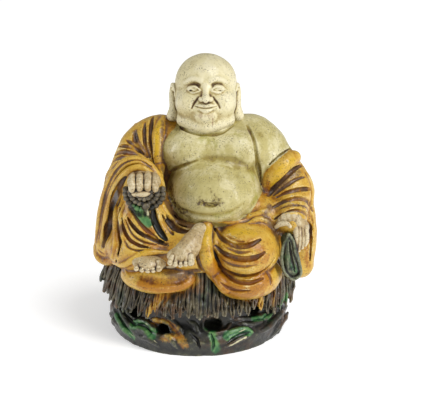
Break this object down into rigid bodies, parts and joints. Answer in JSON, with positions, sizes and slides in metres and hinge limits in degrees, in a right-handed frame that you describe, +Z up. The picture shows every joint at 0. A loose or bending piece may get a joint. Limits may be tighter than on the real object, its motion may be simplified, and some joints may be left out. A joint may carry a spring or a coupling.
{
  "type": "terracotta buddha figure",
  "caption": "Seated pot-bellied monk in glazed terracotta, holding beads and a bag, on a seat of hanging leaves with a pierced round foot.",
  "frame": {"origin": "on the underside, below the middle of the figure's bounding box", "axes": "+Z up, the figure faces -Y, its raised fist is towards -X"},
  "size_m": [0.1918, 0.1724, 0.2398],
  "materials": {
    "sancai_glaze": "cream, amber, green and brown lead glazes over buff terracotta, worn and pitted"
  },
  "bodies": {
    "root": {"buddha_figure": "sancai_glaze"}
  },
  "joints": []
}
